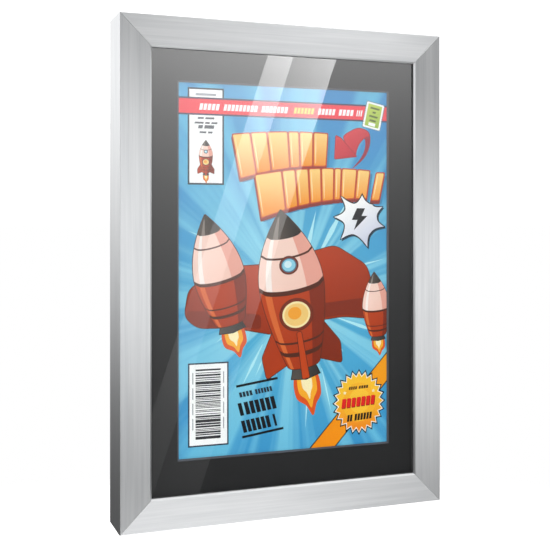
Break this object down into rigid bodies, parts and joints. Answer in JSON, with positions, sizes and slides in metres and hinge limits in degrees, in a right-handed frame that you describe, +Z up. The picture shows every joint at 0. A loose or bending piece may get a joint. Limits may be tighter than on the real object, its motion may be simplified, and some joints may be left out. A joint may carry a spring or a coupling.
{
  "type": "comic display frame",
  "caption": "Deep brushed-metal wall frame with a bevelled charcoal mat, clear glazing, a framed comic cover, packed boards and a back held by turn buttons.",
  "frame": {"origin": "centre of the wall contact plane, at the rear faces of the rubber bumper pads, mid-width and mid-height of the frame", "axes": "+X to the viewer's right, +Y from the front face into the wall, +Z up"},
  "size_m": [0.2326, 0.0358, 0.3342],
  "materials": {
    "brushed_metal": "satin",
    "raw_wood": "matte",
    "clear_acrylic": "gloss",
    "charcoal_mat": "matte",
    "white_foam": "matte",
    "printed_cover": "satin",
    "page_paper": "matte",
    "white_board": "matte",
    "brown_card": "matte",
    "hardboard": "matte",
    "zinc_steel": "satin",
    "pad_rubber": "matte"
  },
  "bodies": {
    "frame": {"rail_core_bottom": "raw_wood", "rail_cladding_bottom": "brushed_metal", "spacer_strip_bottom": "white_foam", "rail_core_right": "raw_wood", "rail_cladding_right": "brushed_metal", "spacer_strip_right": "white_foam", "rail_core_top": "raw_wood", "rail_cladding_top": "brushed_metal", "spacer_strip_top": "white_foam", "rail_core_left": "raw_wood", "rail_cladding_left": "brushed_metal", "spacer_strip_left": "white_foam", "v_nail_bottom_left_outer": "zinc_steel", "v_nail_bottom_left_inner": "zinc_steel", "v_nail_bottom_right_outer": "zinc_steel", "v_nail_bottom_right_inner": "zinc_steel", "v_nail_top_left_outer": "zinc_steel", "v_nail_top_left_inner": "zinc_steel", "v_nail_top_right_outer": "zinc_steel", "v_nail_top_right_inner": "zinc_steel", "acrylic_glazing": "clear_acrylic", "mat_board": "charcoal_mat", "comic_cover": "printed_cover", "comic_page_block": "page_paper", "comic_staple_lower": "zinc_steel", "comic_staple_upper": "zinc_steel", "comic_support_board": "white_board", "foam_backing_board": "white_foam", "corrugated_filler_pad_1": "brown_card", "corrugated_filler_pad_2": "brown_card", "back_panel": "hardboard", "turn_button_screw_bottom": "zinc_steel", "turn_button_screw_right_lower": "zinc_steel", "turn_button_screw_right_upper": "zinc_steel", "turn_button_screw_top": "zinc_steel", "turn_button_screw_left_upper": "zinc_steel", "turn_button_screw_left_lower": "zinc_steel", "hanger_strap_left": "zinc_steel", "hanger_screw_left": "zinc_steel", "bumper_pad_left": "pad_rubber", "hanger_strap_right": "zinc_steel", "hanger_screw_right": "zinc_steel", "bumper_pad_right": "pad_rubber"},
    "turn_button_bottom_body": {"turn_button_bottom": "zinc_steel"},
    "turn_button_right_lower_body": {"turn_button_right_lower": "zinc_steel"},
    "turn_button_right_upper_body": {"turn_button_right_upper": "zinc_steel"},
    "turn_button_top_body": {"turn_button_top": "zinc_steel"},
    "turn_button_left_upper_body": {"turn_button_left_upper": "zinc_steel"},
    "turn_button_left_lower_body": {"turn_button_left_lower": "zinc_steel"},
    "hanger_ring_left_body": {"hanger_ring_left": "zinc_steel"},
    "hanger_ring_right_body": {"hanger_ring_right": "zinc_steel"}
  },
  "joints": [
    {"name": "turn_button_bottom_spin", "type": "hinge", "parent": "frame", "child": "turn_button_bottom_body", "pos_m": [0, -0.0033, -0.16005], "axis": [0, 1, 0], "continuous": true},
    {"name": "turn_button_right_lower_spin", "type": "hinge", "parent": "frame", "child": "turn_button_right_lower_body", "pos_m": [0.10925, -0.0033, -0.06], "axis": [0, 1, 0], "continuous": true},
    {"name": "turn_button_right_upper_spin", "type": "hinge", "parent": "frame", "child": "turn_button_right_upper_body", "pos_m": [0.10925, -0.0033, 0.06], "axis": [0, 1, 0], "continuous": true},
    {"name": "turn_button_top_spin", "type": "hinge", "parent": "frame", "child": "turn_button_top_body", "pos_m": [0, -0.0033, 0.16005], "axis": [0, 1, 0], "continuous": true},
    {"name": "turn_button_left_upper_spin", "type": "hinge", "parent": "frame", "child": "turn_button_left_upper_body", "pos_m": [-0.10925, -0.0033, 0.06], "axis": [0, 1, 0], "continuous": true},
    {"name": "turn_button_left_lower_spin", "type": "hinge", "parent": "frame", "child": "turn_button_left_lower_body", "pos_m": [-0.10925, -0.0033, -0.06], "axis": [0, 1, 0], "continuous": true},
    {"name": "hanger_ring_left_swing", "type": "hinge", "parent": "frame", "child": "hanger_ring_left_body", "pos_m": [-0.10925, -0.00215, 0.1], "axis": [1, 0, 0], "range_deg": [0, 180]},
    {"name": "hanger_ring_right_swing", "type": "hinge", "parent": "frame", "child": "hanger_ring_right_body", "pos_m": [0.10925, -0.00215, 0.1], "axis": [1, 0, 0], "range_deg": [0, 180]}
  ]
}
